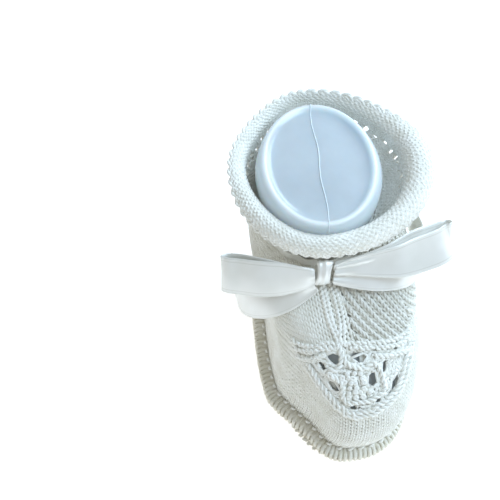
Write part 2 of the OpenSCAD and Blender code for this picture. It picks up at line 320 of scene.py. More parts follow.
def course(weave, skin, edges, line, row, radius, depth, base, purl=False,
           eyelets=(), closed=False, ragged=0.05, sides=6, warp=None, inside=None):
    """One row of knitting: a yarn that loops up into the row above at every column between edges.

    line gives the share up at an angle and a row. The yarn lies base from the skin, and comes forward and
    goes back by depth. warp moves its angles, and then only the yarn inside two angles is kept."""
    columns = len(edges) - 1
    t = np.arange(columns * SAMPLES + (0 if closed else 1)) / SAMPLES
    phase = 2 * np.pi * (t - np.floor(t)) + np.pi
    shift = LOOP_SWAY * np.sin(2 * phase)
    a = np.interp(t + shift, np.arange(-1, columns + 2), np.concatenate([
        [2 * edges[0] - edges[1]], edges, [2 * edges[-1] - edges[-2]]]))
    wobble = np.repeat(rng.normal(0, ragged, columns + 1), SAMPLES)[:len(t)]
    height = row + 0.5 + LOOP_REACH * np.cos(phase) * (0.5 if purl else 1) + wobble
    lift = base + (1 if purl else -1) * depth * np.cos(2 * phase)
    if warp:
        a = warp(a, height)
        kept = (a >= inside[0]) & (a <= inside[1])
        a, height, lift = a[kept], height[kept], lift[kept]
    up = line(a, height)
    a, up = open_eyelets(skin, a, up, eyelets)
    up = np.clip(up, 0.0, 1.0)
    normal = outward(skin, a, up)
    weave.strand(skin(a, up) + normal * lift[:, None], normal, radius, sides=sides, closed=closed)


def twisted_cord(weave, path, normal, twist_radius, yarn_radius, pitch, closed=False):
    """Two yarns twisted round a path, as in a whipped seam or a ridge of stitches."""
    run = unit(np.roll(path, -1, 0) - np.roll(path, 1, 0)) if closed else unit(np.gradient(path, axis=0))
    side = unit(np.cross(run, normal))
    face = np.cross(side, run)
    length = lengths(path)
    whole = length[-1] + (np.linalg.norm(path[0] - path[-1]) if closed else 0)
    turns = max(1, round(whole / pitch))
    for start in (0, 0.5):
        angle = 2 * np.pi * (turns * length / whole + start)
        offset = np.cos(angle)[:, None] * face + np.sin(angle)[:, None] * side
        weave.strand(path + twist_radius * offset, offset, yarn_radius, closed=closed)


BACKING = (-1.3, -0.7)  # inner and outer face of the foot's backing, from the skin
BACKING_TALL = 60       # about the millimetres from the bottom to the top of a skin, for yarn coordinates


def backing(name, skin, a0, a1, bottom, top, faces=BACKING, eyelets=(), across=2.0, up_step=0.012):
    """The thin layer of yarn behind the stitches, cut away at each eyelet."""
    angles = np.linspace(a0, a1, round((a1 - a0) / across) + 1)
    rows = max(4, round(float(np.max(top(angles) - bottom(angles))) / up_step))
    share = np.linspace(0, 1, rows + 1)
    a = np.broadcast_to(angles[:, None], (len(angles), len(share)))
    up = mix(bottom(angles)[:, None], top(angles)[:, None], share[None])
    a2, up2 = open_eyelets(skin, a, up, eyelets)
    up2 = np.clip(up2, 0, 1)
    points = skin(a2, up2) + outward(skin, a2, up2) * faces[0]
    weave = Weave()
    weave.grid(points, (a2, up2 * BACKING_TALL, 0.5))
    quads = weave.quads[0].reshape(len(angles) - 1, len(share) - 1, 4)
    keep = np.ones(quads.shape[:2], bool)
    middle_a, middle_up = (a2[1:, 1:] + a2[:-1, :-1]) / 2, (up2[1:, 1:] + up2[:-1, :-1]) / 2
    for at_a, at_up, radius, *_ in eyelets:
        gap = np.linalg.norm(skin(middle_a, middle_up) - skin(at_a, at_up), axis=-1)
        keep &= gap > 0.85 * radius
    kept = keep.ravel()
    weave.quads = [weave.quads[0][kept]]
    weave.uvs = [weave.uvs[0].reshape(-1, 4, 2)[kept].reshape(-1, 2)]
    piece = weave.piece(name)
    apply_modifier(piece, "SOLIDIFY", thickness=(faces[1] - faces[0]) * MM, offset=1.0)
    return piece


# ---- materials ----


def linear(hex_colour):
    """An sRGB hex colour as the linear colour that a socket takes."""
    parts = [int(hex_colour[i:i + 2], 16) / 255 for i in (1, 3, 5)]
    return tuple(p / 12.92 if p <= 0.04045 else ((p + 0.055) / 1.055) ** 2.4 for p in parts) + (1.0,)


def add_node(tree, kind, links=None, **settings):
    """Adds a node with its settings, its inputs' values, and its inputs' links."""
    node = tree.nodes.new(kind)
    for key, value in settings.items():
        if key.startswith("in_"):
            node.inputs[key[3:].replace("_", " ")].default_value = value
        else:
            setattr(node, key, value)
    for name, output in (links or {}).items():
        tree.links.new(output, node.inputs[name])
    return node


def set_inputs(node, values):
    for name, value in values.items():
        node.inputs[name].default_value = value


def new_material(name):
    material = bpy.data.materials.new(name)
    material.use_nodes = True
    tree = material.node_tree
    tree.nodes.clear()
    shader = add_node(tree, "ShaderNodeBsdfPrincipled")
    add_node(tree, "ShaderNodeOutputMaterial", {"Surface": shader.outputs["BSDF"]})
    return material, tree, shader


def two_tones(tree, factor, dark, light):
    ramp = add_node(tree, "ShaderNodeValToRGB", {"Fac": factor})
    ramp.color_ramp.elements[0].color = linear(dark)
    ramp.color_ramp.elements[1].color = linear(light)
    ramp.color_ramp.elements[0].position = 0.3
    ramp.color_ramp.elements[1].position = 0.7
    return ramp.outputs["Color"]


def cotton(name, dark, light, sheen):
    """Mercerised cotton, two plies twisted and hand-knitted. Mercerising leaves a soft silky gleam along
    each strand, and the plies show as fine slanting ridges, here 0.6 mm apart along the yarn."""
    material, tree, shader = new_material(name)
    place = add_node(tree, "ShaderNodeTexCoord")
    tone = add_node(tree, "ShaderNodeTexNoise", {"Vector": place.outputs["Object"]},
                    in_Scale=260.0, in_Detail=3.0, in_Roughness=0.6)
    tree.links.new(two_tones(tree, tone.outputs["Fac"], dark, light), shader.inputs["Base Color"])
    strand = add_node(tree, "ShaderNodeMapping", {"Vector": place.outputs["UV"]},
                      in_Scale=(1.0, 0.6, 1.0))
    plies = add_node(tree, "ShaderNodeTexWave", {"Vector": strand.outputs["Vector"]},
                     wave_type="BANDS", bands_direction="DIAGONAL", in_Scale=0.5, in_Distortion=0.6)
    fuzz = add_node(tree, "ShaderNodeTexNoise", {"Vector": place.outputs["Object"]},
                    in_Scale=5200.0, in_Detail=2.0)
    soft = add_node(tree, "ShaderNodeBump", {"Height": fuzz.outputs["Fac"]},
                    in_Strength=0.25, in_Distance=0.00006)
    ridges = add_node(tree, "ShaderNodeBump",
                      {"Height": plies.outputs["Fac"], "Normal": soft.outputs["Normal"]},
                      in_Strength=0.35, in_Distance=0.00008)
    tree.links.new(ridges.outputs["Normal"], shader.inputs["Normal"])
    gloss = add_node(tree, "ShaderNodeMapRange", {"Value": fuzz.outputs["Fac"]},
                     in_To_Min=0.5, in_To_Max=0.68)
    tree.links.new(gloss.outputs["Result"], shader.inputs["Roughness"])
    set_inputs(shader, {"Sheen Weight": sheen, "Sheen Roughness": 0.4, "Specular IOR Level": 0.45})
    return material


def satin_ribbon():
    """Polyester satin ribbon, woven so that its fine warp threads float along it: they stretch every
    highlight across the ribbon and show as faint lines 0.25 mm apart, with a tighter selvedge."""
    material, tree, shader = new_material("woven_polyester_satin")
    place = add_node(tree, "ShaderNodeTexCoord")
    tone = add_node(tree, "ShaderNodeTexNoise", {"Vector": place.outputs["Object"]},
                    in_Scale=120.0, in_Detail=2.0)
    across = add_node(tree, "ShaderNodeSeparateXYZ", {"Vector": place.outputs["UV"]})
    middle = add_node(tree, "ShaderNodeMath", operation="ABSOLUTE")
    tree.links.new(across.outputs["Y"], middle.inputs[0])
    selvedge = add_node(tree, "ShaderNodeMapRange", {"Value": middle.outputs["Value"]},
                        in_From_Min=3.5, in_From_Max=4.9)
    band = add_node(tree, "ShaderNodeValToRGB", {"Fac": selvedge.outputs["Result"]})
    for at, shade in ((0.3, 0.0), (0.42, 0.9), (0.54, 0.0), (0.8, 0.0)):
        stop = band.color_ramp.elements.new(at)
        stop.color = (shade, shade, shade, 1)
    band.color_ramp.elements[-1].color = (0.2, 0.2, 0.2, 1)
    cloth = add_node(tree, "ShaderNodeMix", data_type="RGBA")
    tree.links.new(band.outputs["Color"], cloth.inputs["Factor"])
    tree.links.new(two_tones(tree, tone.outputs["Fac"], "#EAE8E0", "#F4F2EC"), cloth.inputs[6])
    cloth.inputs[7].default_value = linear("#D8D5CA")
    tree.links.new(cloth.outputs[2], shader.inputs["Base Color"])
    threads = add_node(tree, "ShaderNodeMapping", {"Vector": place.outputs["UV"]},
                       in_Scale=(0.02, 4.0, 1.0))
    warp = add_node(tree, "ShaderNodeTexNoise", {"Vector": threads.outputs["Vector"]},
                    in_Scale=4.0, in_Detail=3.0)
    lines = add_node(tree, "ShaderNodeBump", {"Height": warp.outputs["Fac"]},
                     in_Strength=0.18, in_Distance=0.00005)
    tree.links.new(lines.outputs["Normal"], shader.inputs["Normal"])
    gloss = add_node(tree, "ShaderNodeMapRange", {"Value": warp.outputs["Fac"]},
                     in_To_Min=0.24, in_To_Max=0.38)
    tree.links.new(gloss.outputs["Result"], shader.inputs["Roughness"])
    set_inputs(shader, {
        "Anisotropic": 0.6, "Sheen Weight": 0.2, "Specular IOR Level": 1.0, "Metallic": 0.22,
    })
    return material


def clear_vinyl(name, dark, light, coat, depth):
    """Thin blow-moulded PVC, bluish and half clear; light passes into it and spreads a little. Cooling in the
    mould leaves a slightly cloudy, glossy skin with long shallow ripples. Bands at the shoulder and rim are
    painted lighter, a painted highlight, and a faint emission gives the form a painted glow."""
    material, tree, shader = new_material(name)
    place = add_node(tree, "ShaderNodeTexCoord")
    cloud = add_node(tree, "ShaderNodeTexNoise", {"Vector": place.outputs["Object"]},
                     in_Scale=45.0, in_Detail=4.0, in_Roughness=0.55)
    ring = add_node(tree, "ShaderNodeSeparateXYZ", {"Vector": place.outputs["UV"]})
    # painted highlight: bands at the shoulder and rim, picked by the ring's share up the profile, are mixed
    # towards near-white
    painted_rim_light = add_node(tree, "ShaderNodeValToRGB", {"Fac": ring.outputs["Y"]})
    for at, rim_light_share in ((0.2, 0.0), (0.3, 0.55), (0.46, 0.25), (0.55, 0.8), (0.62, 0.7), (0.7, 0.0)):
        stop = painted_rim_light.color_ramp.elements.new(at)
        stop.color = (rim_light_share, rim_light_share, rim_light_share, 1)
    painted_rim_light.color_ramp.elements[0].color = painted_rim_light.color_ramp.elements[-1].color = (0, 0, 0, 1)
    tone = add_node(tree, "ShaderNodeMix", data_type="RGBA")
    tree.links.new(painted_rim_light.outputs["Color"], tone.inputs["Factor"])
    tree.links.new(two_tones(tree, cloud.outputs["Fac"], dark, light), tone.inputs[6])
    tone.inputs[7].default_value = linear("#F0F8FC")
    tree.links.new(tone.outputs[2], shader.inputs["Base Color"])
    ripple = add_node(tree, "ShaderNodeBump", {"Height": cloud.outputs["Fac"]},
                      in_Strength=0.25, in_Distance=0.0008)
    tree.links.new(ripple.outputs["Normal"], shader.inputs["Normal"])
    # painted glow: a faint emission in the light tone makes the vinyl glow though it is no lamp
    set_inputs(shader, {
        "Roughness": 0.28, "IOR": 1.53, "Coat Weight": coat, "Coat Roughness": 0.12,
        "Subsurface Weight": depth, "Subsurface Radius": (0.5, 0.8, 1.0), "Subsurface Scale": 0.01,
        "Emission Color": linear(light), "Emission Strength": 0.05,
    })
    return material


IVORY = cotton("mercerised_cotton_stockinette", "#E9E6DA", "#F6F4EC", 0.25)
LACE_WHITE = cotton("mercerised_cotton_lace", "#F0EEE4", "#FBFAF4", 0.3)
# the sole's garter is the same cotton, tinted darker and more beige as painted shade
SHADED_GARTER = cotton("mercerised_cotton_garter_painted_shade", "#E2DDCC", "#EFEBDF", 0.2)
SATIN = satin_ribbon()
VINYL = clear_vinyl("blow_moulded_pvc", "#B9C3C9", "#CAD3D8", 0.5, 0.6)
# the parting line's vinyl: the same plastic in lighter tones, a painted highlight along the ridge
VINYL_PAINTED_HIGHLIGHT = clear_vinyl("pvc_parting_line_painted_highlight", "#DCE8EE", "#E8F1F5", 0.6, 0.0)

# ---- the knitted foot ----

# radius of the yarn as it lies in each part
YARN, RIB_YARN, LACE_YARN, COLLAR_YARN = 0.38, 0.44, 0.42, 0.46
# width of a column of stitches in each part
WALL_STITCH, RIB_STITCH, SWEPT_STITCH, LACE_STITCH = 1.5, 1.75, 2.1, 1.6
TOE_COURSES = 15     # rows from the sole to the lace
SIDE_COURSES = 17    # rows from the sole to the ankle ribbing at the sides
RIB_COURSES = 17     # rows of ankle ribbing


def wall_line(a, k):
    """Share of the way up at row k of the stockinette, from the sole."""
    k = np.asarray(k, float)
    edge = lower_lace_edge(a)
    beside_lace = (k - TOE_COURSES) * (CORNER_TOP - CORNER_BOTTOM) / (SIDE_COURSES - TOE_COURSES)
    return np.where(k <= TOE_COURSES, edge * k / TOE_COURSES, edge + beside_lace)


def rib_line(a, k):
    """Share of the way up at row k of the ankle ribbing, from the lace's top edge."""
    start = upper_lace_edge(a)
    return start + (1 - start) * np.asarray(k, float) / RIB_COURSES


RIB_PARTING = 4.0    # angle of the right centre rib, where the swept ribs start
RIB_SWEEP = 26.0     # degrees that they sweep out by on their way down
RIBS_EVEN_AT = 0.85  # share of the way up where the ribs are evenly wide


def swept(a, k):
    """Right of the middle, the ribs sweep outwards on their way down, as the decreases pull them."""
    share = eased((112 - a) / 72)
    return a + RIB_SWEEP * share * (1 - np.clip(np.asarray(k, float) / RIB_COURSES, 0, 1)) ** 2.1


def flat_edge(value):
    return lambda a: np.full_like(np.asarray(a, float), value)


def lower_wall(weave, a0, a1, courses):
    edges = even_angles(foot, a0, a1, 0.15, WALL_STITCH)
    for row in range(courses):
        course(weave, foot, edges, wall_line, row, YARN, depth=0.36, base=-0.4)


RIB_POINTS = 70      # along a whole raised rib
SHORTEST_RIB = 8     # points that have to lie inside the wall for a rib to be drawn


def raised_rib(weave, start, inside):
    """One rib of the swept ribbing: two plies of plump stitches that stand out from the fabric."""
    k = np.linspace(0.1, RIB_COURSES - 0.1, RIB_POINTS)
    a = swept(start, k)
    kept = (a >= inside[0]) & (a <= inside[1])
    if kept.sum() < SHORTEST_RIB:
        return
    a, up = a[kept], rib_line(a, k)[kept]
    normal = outward(foot, a, up)
    twisted_cord(weave, foot(a, up) + normal * 0.1, normal, 0.26, 0.36, 2.7)


def ribbed_wall(weave, a0, a1):
    """Upright ribs on the left and the heel; right of the parting they run slanting from row to row."""
    right = a1 > RIB_PARTING and a0 < HEEL_START
    if a0 < RIB_PARTING or not right:
        edges = even_angles(foot, a0, RIB_PARTING if right else a1, RIBS_EVEN_AT, RIB_STITCH)
        for row in range(RIB_COURSES):
            course(weave, foot, edges, rib_line, row, RIB_YARN, depth=0.34, base=-0.3)
    if right:
        inside = (max(a0, RIB_PARTING), a1)
        edges = even_angles(foot, RIB_PARTING - RIB_SWEEP, HEEL_START, RIBS_EVEN_AT, SWEPT_STITCH)
        for row in range(RIB_COURSES):
            course(weave, foot, edges, rib_line, row, RIB_YARN, depth=0.2, base=-0.55, sides=5,
                   warp=swept, inside=inside)
        for a in edges[:-1] + 0.5 * np.diff(edges):
            raised_rib(weave, a, inside)


def knit_wall(name, a0, a1, node, courses=SIDE_COURSES, ribs=True,
              bottom=flat_edge(0), top=flat_edge(1), up_step=0.02):
    """A part of the foot: courses of stockinette from the sole, then the ankle ribbing."""
    weave = Weave()
    lower_wall(weave, a0, a1, courses)
    if ribs:
        ribbed_wall(weave, a0, a1)
    back = backing(name + "_backing", foot, a0, a1, bottom, top, up_step=up_step)
    finish_knitting(weave, name, IVORY, "cotton_stockinette", node, back)


# ---- lace ----

# angle from the toe, share up, radius, stretch, slant
LACE_EYELETS = [
    (-13, 0.592, 1.75, 1.3, 35), (4, 0.6, 1.5, 1.9, -30), (-25, 0.535, 1.5, 1.2, 60),
    (18, 0.53, 1.45, 1.2, 60), (-19, 0.465, 1.6, 1.4, 20),
    (9, 0.5, 1.7, 1.3, 50), (24, 0.43, 1.5, 1.9, 50), (-34, 0.5, 0.9, 1.2, 90),
    (34, 0.5, 0.9, 1.0, 0), (10, 0.405, 0.95, 1.2, 20), (-6, 0.385, 0.9, 1.4, 0),
]
LACE_ROWS = 11
LACE_GARTER_ROWS = (0, 2, 8, 10)
LACE_NARROW = 30.0  # spread of every other row, which stops short of the sides

# ridges of purl bumps: the two wings, the inner diamond and the two smiles, as angle and share up
LACE_RIDGES = [
    [(-7, 0.655), (-16, 0.65), (-27, 0.615), (-38, 0.58), (-49, 0.55)],
    [(-9, 0.64), (-19, 0.625), (-29, 0.59), (-39, 0.55), (-49, 0.515)],
    [(-20, 0.6), (-28, 0.565), (-35, 0.53), (-42, 0.5), (-48, 0.48)],
    [(-3, 0.655), (8, 0.65), (20, 0.625), (34, 0.59), (49, 0.555)],
    [(0, 0.64), (12, 0.625), (24, 0.595), (36, 0.56), (49, 0.525)],
    [(14, 0.59), (24, 0.56), (33, 0.53), (41, 0.505), (49, 0.49)],
    [(-7, 0.65), (-4, 0.58), (4, 0.555), (13, 0.56), (15, 0.5), (15, 0.44), (5, 0.42), (-6, 0.41),
     (-12, 0.42), (-12, 0.49), (-20, 0.52), (-15, 0.545), (-8, 0.58), (-7, 0.65)],
    [(-40, 0.49), (-32, 0.44), (-22, 0.4), (-13, 0.372), (-6, 0.358), (3, 0.368), (13, 0.39), (24, 0.41),
     (33, 0.46), (41, 0.5)],
    [(-43, 0.46), (-34, 0.415), (-24, 0.378), (-14, 0.352), (-6, 0.338), (4, 0.348), (14, 0.366), (25, 0.385),
     (35, 0.425), (43, 0.465)],
]


def lace_line(a, k):
    return mix(lower_lace_edge(a), upper_lace_edge(a), np.asarray(k, float) / LACE_ROWS)


def purl_ridge(weave, stations):
    """A ridge of purl bumps through its stations, with the small wander of knitting done by hand."""
    t = np.linspace(0, 1, 40 * len(stations))
    way = along(stations, t)
    a, up = way[:, 0] + 0.35 * np.sin(t * 47), way[:, 1] + 0.003 * np.cos(t * 61)
    normal = outward(foot, a, up)
    twisted_cord(weave, foot(a, up) + normal * 0.3, normal, 0.36, LACE_YARN, 3.1)


def bobbles(weave):
    """Little knots in the middle of the diamond, where stitches are knitted together."""
    turn = np.linspace(0, 2 * np.pi, 13)[:-1]
    for row, up in enumerate(np.arange(0.435, 0.56, 0.021)):
        half = 9 * (1 - abs(up - 0.49) / 0.12)
        for a in np.arange(-3 - half, -3 + half, 4.2) + 2.1 * (row % 2):
            a, high = a + rng.normal(0, 0.6), up + rng.normal(0, 0.003)
            middle, normal = foot(a, high), outward(foot, a, high)
            side = unit(np.cross(normal, [0.0, rng.normal(0, 0.4), 1]))
            rise = np.cross(side, normal)
            size = rng.uniform(0.25, 0.5)
            circle = np.cos(turn)[:, None] * side + 0.9 * np.sin(turn)[:, None] * rise
            ring = middle + normal * 0.35 + size * circle
            weave.strand(ring, np.broadcast_to(normal, ring.shape), RIB_YARN, closed=True)


def knit_lace():
    weave = Weave()
    for row in range(LACE_ROWS):
        odd = row % 2 == 1
        spread = LACE_NARROW if odd else LACE_SPREAD
        edges = even_angles(foot, -spread, spread, 0.45, LACE_STITCH)
        course(weave, foot, edges, lace_line, row, LACE_YARN, depth=0.32, base=-0.4,
               purl=odd or row in LACE_GARTER_ROWS, eyelets=LACE_EYELETS, ragged=0.15)
    for stations in LACE_RIDGES:
        purl_ridge(weave, stations)
    bobbles(weave)
    back = backing("lace_backing", foot, -LACE_SPREAD, LACE_SPREAD, lower_lace_edge, upper_lace_edge,
                   (-1.3, -0.8), LACE_EYELETS, across=1.0, up_step=0.006)
    finish_knitting(weave, "lace_panel_knit", LACE_WHITE, "cotton_lace", "lace_panel", back)


RIB_BUMPS = 14  # stitches in each centre rib


def knit_centre_ribs():
    """The two raised ribs, each a column of plump stitches up to the knot."""
    weave = Weave()
    for middle in (-6.5, 1.5):
        for side in (-1, 1):
            t = np.linspace(0, 1, 90)
            up = mix(LACE_TOP + 0.025, 0.92, t)
            a = -4.5 + (middle + 2.5) * eased(t * 1.6 + 0.25) + side * 1.3
            phase = 2 * np.pi * t * RIB_BUMPS + (side > 0) * np.pi
            a = a + 0.5 * np.sin(phase)
            normal = outward(foot, a, up)
            lift = 0.35 + 0.2 * np.cos(phase)
            weave.strand(foot(a, up) + normal * lift[:, None], normal, 0.46, sides=7)
    finish_knitting(weave, "centre_ribs_knit", LACE_WHITE, "cotton_lace", "centre_ribs")


def knit_sole_seam():
    """Picked-up stitches: short slanting yarns in the corner between the rim and the wall."""
    weave = Weave()
    for a in even_angles(foot, -180, 180, 0.0, 2.9)[:-1]:
        run = unit(foot(a + 0.5, 0.0) - foot(a - 0.5, 0.0))
        out = np.array([run[1], -run[0], 0.0])
        t = np.linspace(-1, 1, 7)
        path = foot(a, 0.0) + out * 0.45 + [0, 0, 0.35]
        path = path + np.outer(t * 0.85, run) + np.outer(0.35 * (1 - t * t), out)
        path = path + np.outer(0.5 * t + 0.3, [0, 0, 1])
        weave.strand(path, np.broadcast_to(out, path.shape), 0.34 * np.sqrt(1.15 - t * t))
    finish_knitting(weave, "sole_seam_knit", LACE_WHITE, "cotton_lace", "sole_seam")


def knit_back_seam():
    """The whipped seam up the middle of the heel."""
    weave = Weave()
    up = np.linspace(0.05, 0.98, 240)
    a = np.full_like(up, 180.0)
    normal = outward(foot, a, up)
    twisted_cord(weave, foot(a, up) + normal * 0.35, normal, 0.42, LACE_YARN, 3.2)
    finish_knitting(weave, "back_seam_stitches", LACE_WHITE, "cotton_lace", "back_seam")


# ---- sole ----


def sole_outline(a, inset):
    """The sole's edge at angle a from the toe, on the ground, drawn in by inset."""
    sin_a, cos_a = sin_cos(a)
    x = (SOLE_WIDTH / 2 - inset) * fullness(sin_a, cos_a, 0) * rounded(sin_a, 0.8)
    y = -(SOLE_LENGTH / 2 - inset) * rounded(cos_a, 0.8)
    return np.stack([x, y, np.zeros_like(x)], -1)


GARTER_PITCH = 1.45  # ridge to ridge
RIM_RADIUS = 1.6     # of the rim's middle line; its yarn adds the rest of the sole's thickness


def knit_sole():
    """Garter ridges that wrap the rim, rows of them underneath, and a core that they lie on."""
    weave = Weave()
    edge = even_angles(lambda a, up: sole_outline(a, 0.0), -180, 180, 0.0, GARTER_PITCH)[:-1]
    tilt = np.radians(np.linspace(90, -100, 12))
    for a in edge:
        near = sole_outline(np.array([a - 0.3, a + 0.3]), 0.0)
        run = unit(near[1] - near[0])
        out = np.array([run[1], -run[0], 0.0])
        middle = sole_outline(a, 0.0) - out * 2.2 + [0, 0, SOLE_THICK / 2]
        path = middle + np.outer(rounded(np.cos(tilt), 0.45) * RIM_RADIUS, out)
        path = path + np.outer(rounded(np.sin(tilt), 0.6) * RIM_RADIUS, [0, 0, 1])
        inner = [path[0] - out * d for d in (3.6, 2.9, 2.2, 1.5, 0.8)]
        path = np.concatenate([inner, path])
        bumps = 0.6 + 0.09 * np.cos(np.arange(len(path)) * 2.1 + a)
        weave.strand(path, np.broadcast_to(run, path.shape), bumps)
    for y in np.arange(-SOLE_LENGTH / 2 + 2.6, SOLE_LENGTH / 2 - 2.4, GARTER_PITCH):
        half = (SOLE_WIDTH / 2 - 2.2) * (1 - min(1, abs(y) / (SOLE_LENGTH / 2 - 1.6)) ** 2.5) ** 0.4
        lean = 0.16 * half * max(0.0, -2 * y / SOLE_LENGTH)
        x = np.arange(-half + lean, half, 0.5)
        path = np.stack([x, y + 0.22 * np.sin(x * 4.2), 0.66 + 0.08 * np.cos(x * 4.2)], -1)
        weave.strand(path, np.broadcast_to([0.0, 0, -1], path.shape), 0.62)
    slab = Weave()
    a = np.linspace(-180, 180, 145)[:-1]
    rings = [(16.0, 0.5), (1.6, 0.5), (1.1, 1.0), (1.1, SOLE_THICK - 1), (1.6, SOLE_THICK - 0.5),
             (16.0, SOLE_THICK - 0.5)]
    points = np.stack([sole_outline(a, inset) + [0, 0, z] for inset, z in rings], 1)
    slab.grid(points, (points[..., 0], points[..., 1], 0.5), wrap_rows=True)
    core = slab.piece("sole_core")
    close_ends(core)
    finish_knitting(weave, "sole_garter", SHADED_GARTER, "cotton_garter", "sole", core)


# ---- ankle beading, collar and picots ----

COLLAR_COLUMNS = 104
COLLAR_COURSES = 14
BEADING_COLUMNS = 72
BEADING_COURSES = 3
COLLAR_EYELETS = [(a, 0.45, 1.15, 1.7, 90) for a in np.arange(-176, 180, 8.5)]

# radius and turn of the roll along the collar's edge, from the back round by the left, front and right
ROLL = [[3, 30], [2.6, 60], [2.3, 95], [1.9, 170], [1.7, 195], [2.1, 188], [3.2, 165], [3, 75], [3, 30]]


def collar_skin(a, s):
    """The collar from the beading to its edge: it stands up, then rolls outwards, most at the front."""
    a, s = np.broadcast_arrays(np.asarray(a, float), np.asarray(s, float))
    roll = along(ROLL, ((a + 180) % 360) / 360)
    radius, turn = roll[..., :1], np.radians(roll[..., 1:])
    edge, foot_of_wall = cuff(a, 1.0), cuff(a, BEADING_TOP)
    across = cuff(a + 1, 1.0) - cuff(a - 1, 1.0)
    out = unit(np.stack([across[..., 1], -across[..., 0], 0 * a], -1))
    rise = np.array([0.0, 0.0, 1.0])
    start = edge - out * radius * (1 - np.cos(turn)) - rise * radius * np.sin(turn)
    bend = start - rise * 0.45 * (start - foot_of_wall)[..., 2:]
    wall = np.linalg.norm(start - foot_of_wall, axis=-1, keepdims=True) * 1.05
    split = wall / (wall + radius * turn)
    t = np.clip(s[..., None] / split, 0, 1)
    standing = (1 - t) ** 2 * foot_of_wall + 2 * t * (1 - t) * bend + t * t * start
    angle = np.clip((s[..., None] - split) / (1 - split), 0, 1) * turn
    return standing + out * radius * (1 - np.cos(angle)) + rise * radius * np.sin(angle)


def beading_line(a, k):
    return BEADING_TOP * np.asarray(k, float) / BEADING_COURSES + 0 * a


def collar_line(a, k):
    return np.asarray(k, float) / COLLAR_COURSES + 0 * a


def knit_beading():
    weave = Weave()
    edges = np.linspace(-180, 180, BEADING_COLUMNS + 1)
    for row in range(BEADING_COURSES):
        course(weave, cuff, edges, beading_line, row, LACE_YARN, depth=0.3, base=-0.7, closed=True)
    back = backing("beading_backing", cuff, -180, 180, flat_edge(0), flat_edge(BEADING_TOP), (-1.2, -0.7),
                   up_step=0.05)
    finish_knitting(weave, "ankle_beading_knit", LACE_WHITE, "cotton_lace", "ankle_beading", back)


def knit_collar():
    weave = Weave()
    edges = np.linspace(-180, 180, COLLAR_COLUMNS + 1)
    for row in range(COLLAR_COURSES):
        course(weave, collar_skin, edges, collar_line, row, COLLAR_YARN, depth=0.3, base=-0.7, closed=True,
               eyelets=COLLAR_EYELETS, ragged=0.08, sides=5)
    back = backing("collar_backing", collar_skin, -180, 180, flat_edge(0), flat_edge(1), (-0.85, -0.55),
                   COLLAR_EYELETS, across=1.25, up_step=0.025)
    finish_knitting(weave, "collar_knit", IVORY, "cotton_stockinette", "collar", back)


PICOTS = 54


def knit_picots():
    """Little yarn loops round the collar's edge, over the cord that they are cast off on."""
    weave = Weave()
    points = PICOTS * SAMPLES
    t = np.arange(points) / points
    a = 360 * t - 180
    edge = collar_skin(a, 1.0)
    normal = outward(collar_skin, a, 1.0)
    rise = unit(edge - collar_skin(a, 0.97))
    wave = np.abs(np.sin(np.pi * PICOTS * t)) ** 0.8
    sway = np.sin(2 * np.pi * PICOTS * t)
    middle = edge - normal * 0.7
    weave.strand(middle + rise * (0.1 + 1.0 * wave)[:, None] + normal * (0.2 * sway)[:, None],
                 normal, COLLAR_YARN, closed=True)
    weave.strand(middle + rise * (0.1 + 0.4 * wave)[:, None] - normal * (0.25 * sway)[:, None],
                 normal, RIB_YARN, closed=True)
    twisted_cord(weave, middle - rise * 0.3, normal, 0.3, 0.4, 2.4, closed=True)
    finish_knitting(weave, "picot_edging_stitches", LACE_WHITE, "cotton_lace", "picot_edging")


# ---- ribbon ----

RIBBON_WIDTH, RIBBON_THICK = 10.0, 0.36
RIBBON_GAP = 0.55              # from the knitting to the middle of a ribbon that rests on it
RIBBON_ROWS, RIBBON_ACROSS = 112, 17

# middle of the ribbon, share of its full width, tilt of its width from upright
LOOP_RIGHT = [
    [-2, -11.4, 46.4, 0.32, 26], [1.4, -11.1, 46.8, 0.42, 30], [5, -11.1, 47.1, 0.54, 34],
    [10, -11.2, 47.3, 0.7, 36], [15, -10.8, 47.2, 0.86, 37], [20, -9.6, 47.1, 0.97, 38],
    [25, -7.9, 46.9, 1, 38], [28.6, -6.2, 46.8, 1, 38], [30.6, -4.7, 46.6, 1, 38], [29.2, -4, 46.1, 1, 38],
    [25.6, -5, 46.7, 1, 38], [20.4, -7, 47.6, 0.95, 38], [15.4, -8.8, 48, 0.76, 38],
    [10, -9.9, 48, 0.52, 36], [4.6, -10.4, 47.5, 0.36, 32], [-1.6, -10.8, 46.8, 0.28, 30],
]
LOOP_LEFT = [
    [-7.2, -12.2, 45.2, 0.44, 24], [-11, -12.1, 45, 0.7, 28], [-16, -11.5, 44.6, 0.92, 30],
    [-22, -10.3, 44.1, 1, 32], [-26.4, -9, 43.6, 1, 32], [-29.4, -7.8, 43.2, 1, 32],
    [-31, -6.6, 42.8, 1, 32], [-29.4, -6, 42.5, 1, 32], [-26, -7, 43, 1, 32],
    [-20, -9, 44, 0.9, 30], [-13.4, -10.6, 44.9, 0.6, 28], [-7.4, -11.4, 45.2, 0.4, 24],
]
TAIL_RIGHT = [
    [-2.2, -12, 44, 0.34, 30], [1.4, -12.5, 43.7, 0.44, 34], [6, -12.9, 43, 0.52, 36],
    [11, -12.8, 41.8, 0.55, 36], [15.6, -11.9, 40.8, 0.6, 32], [19.6, -9.9, 39.6, 0.66, 24],
    [22.6, -6.6, 38.4, 0.76, 14], [24.6, -2.4, 37.2, 0.86, 8], [25.4, 2.6, 36.2, 0.94, 6],
    [25.2, 8, 35.2, 1, 6], [24.4, 13, 34.6, 1, 6],
]
